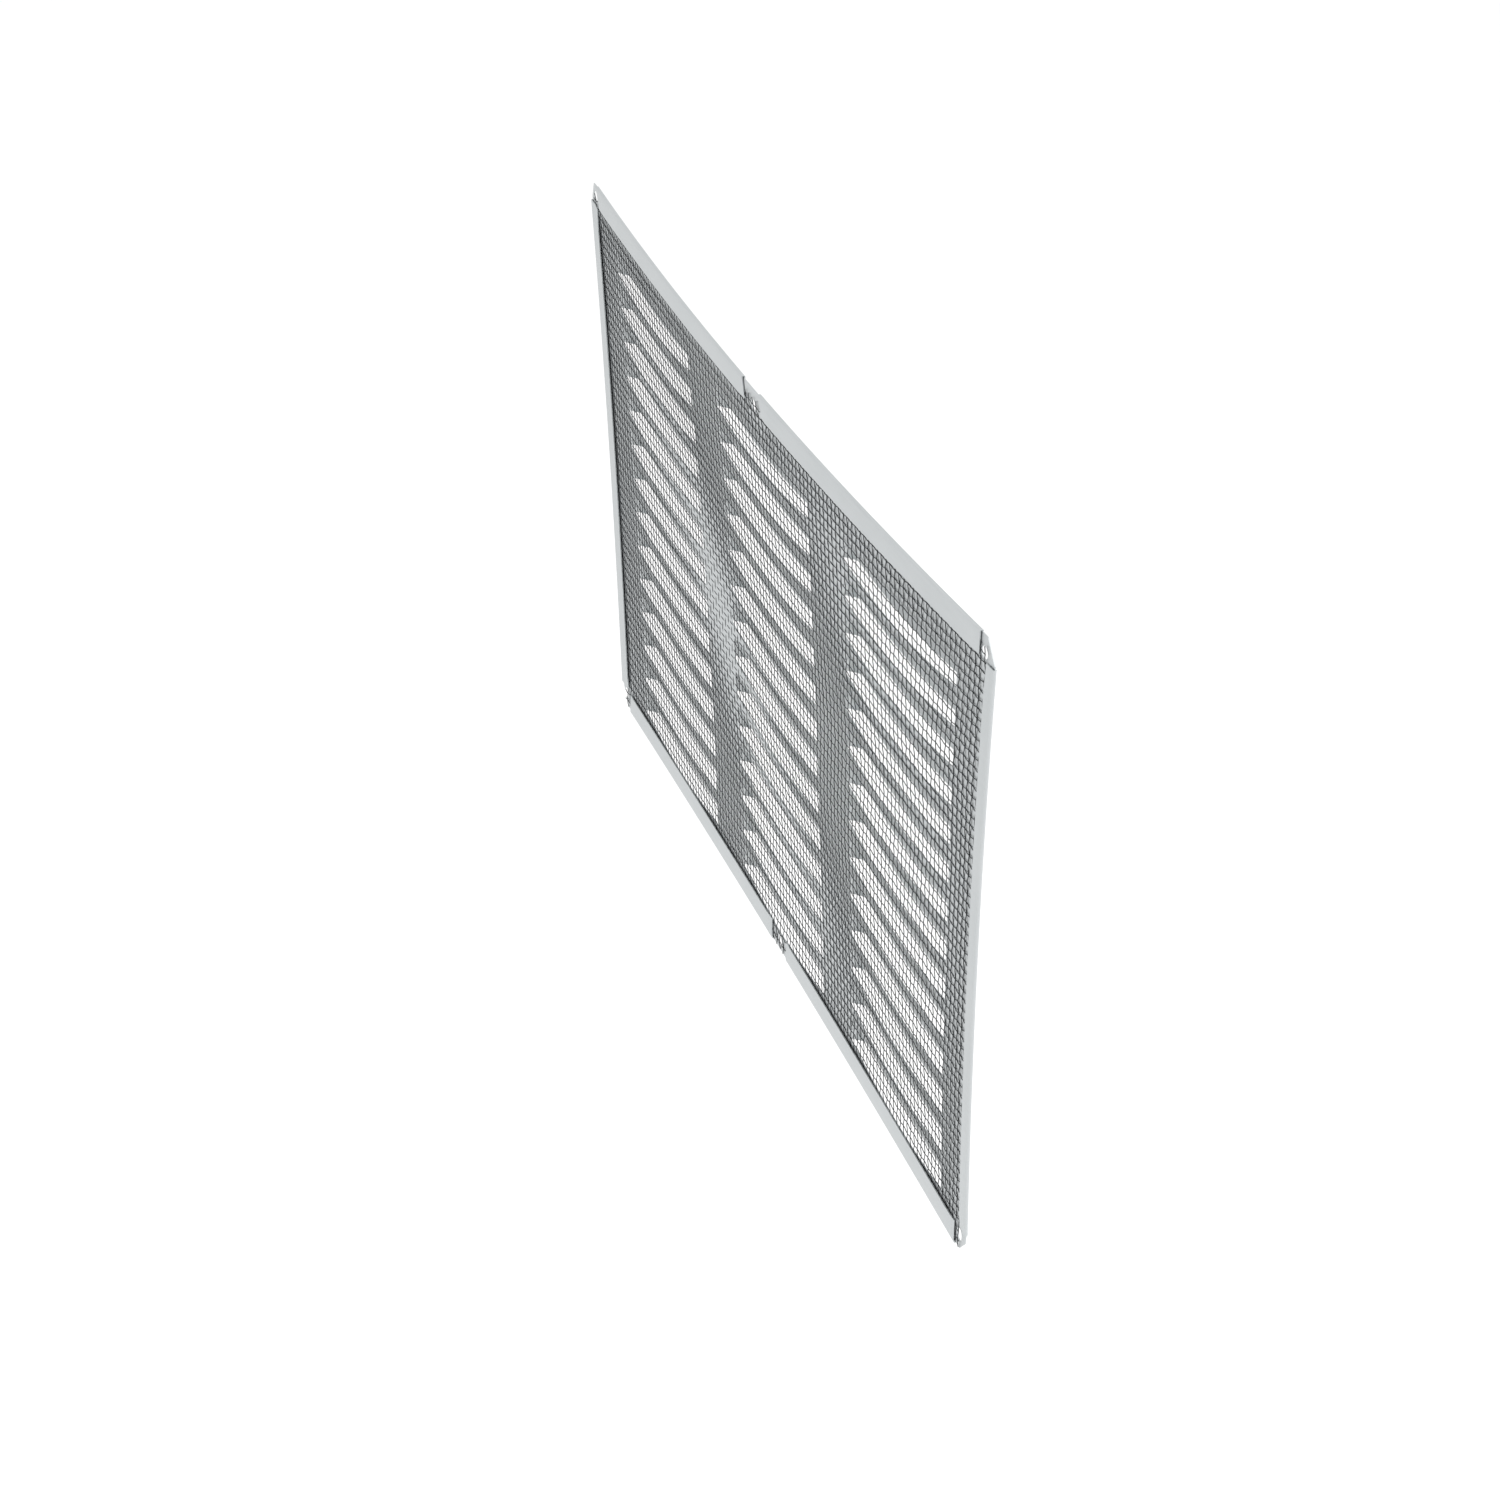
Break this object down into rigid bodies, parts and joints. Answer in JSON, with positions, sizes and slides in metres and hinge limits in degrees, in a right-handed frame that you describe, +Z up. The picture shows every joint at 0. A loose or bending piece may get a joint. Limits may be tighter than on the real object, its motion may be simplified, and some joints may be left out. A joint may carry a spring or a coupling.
{
  "type": "louvred vent panel",
  "caption": "Rectangular pressed aluminium louvre vent panel with folded hems that hold a woven wire insect screen across its back.",
  "frame": {"origin": "the centre of the panel, on the plane that the outer faces of the hems seat against", "axes": "+X along the length, to the right as seen from the screen side; +Y out through the louvres, away from the wall; +Z up, so that the louvres open downwards"},
  "size_m": [0.3556, 0.0056, 0.2032],
  "materials": {
    "mill_aluminium": "plain mill finish, dull silver grey",
    "screen_wire": "dull dark grey drawn wire, plain weave"
  },
  "bodies": {
    "root": {"louvred_sheet": "mill_aluminium", "wire_screen": "screen_wire"}
  },
  "joints": []
}
